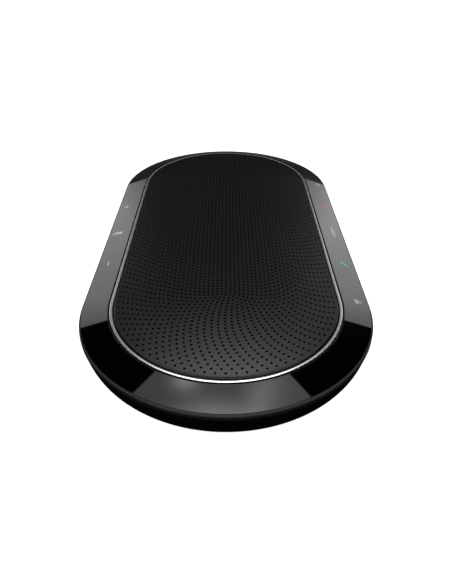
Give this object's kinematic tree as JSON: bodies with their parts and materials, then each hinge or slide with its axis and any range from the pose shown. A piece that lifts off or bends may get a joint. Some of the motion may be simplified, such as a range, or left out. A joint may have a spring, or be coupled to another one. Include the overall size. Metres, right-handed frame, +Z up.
{
  "type": "conference speakerphone",
  "caption": "Flat table-top conference speakerphone: a stadium-shaped body with a sloped gloss touch bezel, a chrome ring and a domed perforated grille over a loudspeaker.",
  "frame": {"origin": "centre of the footprint on the table", "axes": "+X along the length of the body, -Y towards the side with the call keys, +Z up"},
  "size_m": [0.328, 0.164, 0.034],
  "materials": {
    "housing_plastic": "satin black moulded plastic",
    "rubber": "matt black rubber",
    "label_film": "plain printed film, blank",
    "screw_steel": "zinc plated steel",
    "rim_plastic": "satin dark grey moulded plastic",
    "gloss_black": "piano black, polished",
    "chrome": "polished chrome plating",
    "grille_metal": "dark perforated sheet, satin",
    "acoustic_cloth": "black acoustic mesh",
    "inner_plastic": "black moulded plastic",
    "foam": "black closed-cell foam",
    "magnet_steel": "plated steel",
    "ferrite": "dark sintered ferrite",
    "copper": "enamelled copper winding",
    "spider_cloth": "phenolic treated cloth",
    "cone_paper": "black pressed paper",
    "microphone_rubber": "soft black rubber boot",
    "circuit_board": "green solder mask",
    "chip_plastic": "black moulded resin",
    "shield_metal": "tinned steel",
    "flex_film": "amber polyimide film"
  },
  "bodies": {
    "housing": {"bottom_housing": "housing_plastic", "foot_ring": "rubber", "driver_surround": "rubber", "radiator_surround_left": "rubber", "radiator_surround_right": "rubber", "speaker_lead": "rubber", "rating_label": "label_film", "housing_screw_1": "screw_steel", "housing_screw_2": "screw_steel", "housing_screw_3": "screw_steel", "housing_screw_4": "screw_steel", "housing_screw_5": "screw_steel", "housing_screw_6": "screw_steel", "driver_screw_1": "screw_steel", "driver_screw_2": "screw_steel", "driver_screw_3": "screw_steel", "driver_screw_4": "screw_steel", "board_screw_1": "screw_steel", "board_screw_2": "screw_steel", "mid_frame": "rim_plastic", "bezel": "gloss_black", "chrome_ring": "chrome", "grille": "grille_metal", "grille_cloth": "acoustic_cloth", "speaker_baffle": "inner_plastic", "enclosure_cup": "inner_plastic", "driver_basket": "inner_plastic", "radiator_frame_left": "inner_plastic", "radiator_frame_right": "inner_plastic", "enclosure_gasket": "foam", "driver_yoke": "magnet_steel", "driver_top_plate": "magnet_steel", "driver_magnet": "ferrite", "driver_spider": "spider_cloth", "microphone_1": "microphone_rubber", "microphone_2": "microphone_rubber", "microphone_3": "microphone_rubber", "microphone_4": "microphone_rubber", "microphone_5": "microphone_rubber", "microphone_6": "microphone_rubber", "main_board": "circuit_board", "touch_board_front": "circuit_board", "touch_board_rear": "circuit_board", "codec_chip": "chip_plastic", "amplifier_chip": "chip_plastic", "capacitor": "chip_plastic", "dc_jack": "chip_plastic", "audio_jack": "chip_plastic", "shield_can": "shield_metal", "wireless_module": "shield_metal", "usb_a_socket": "shield_metal", "usb_c_socket": "shield_metal", "front_flex": "flex_film", "rear_flex": "flex_film"},
    "driver_cone_body": {"driver_cone": "cone_paper", "driver_dust_cap": "cone_paper", "driver_voice_coil": "copper"},
    "radiator_left_body": {"radiator_plate_left": "cone_paper"},
    "radiator_right_body": {"radiator_plate_right": "cone_paper"}
  },
  "joints": [
    {"name": "cone_travel", "type": "slide", "parent": "housing", "child": "driver_cone_body", "axis": [0, 0, 1], "range_m": [-0.0015, 0.0015], "stiffness_N_per_m": 1200, "deforming": ["driver_surround", "driver_spider"]},
    {"name": "radiator_left_travel", "type": "slide", "parent": "housing", "child": "radiator_left_body", "axis": [0, 0, 1], "range_m": [-0.0015, 0.0015], "stiffness_N_per_m": 900, "deforming": ["radiator_surround_left"]},
    {"name": "radiator_right_travel", "type": "slide", "parent": "housing", "child": "radiator_right_body", "axis": [0, 0, 1], "range_m": [-0.0015, 0.0015], "stiffness_N_per_m": 900, "deforming": ["radiator_surround_right"]}
  ]
}
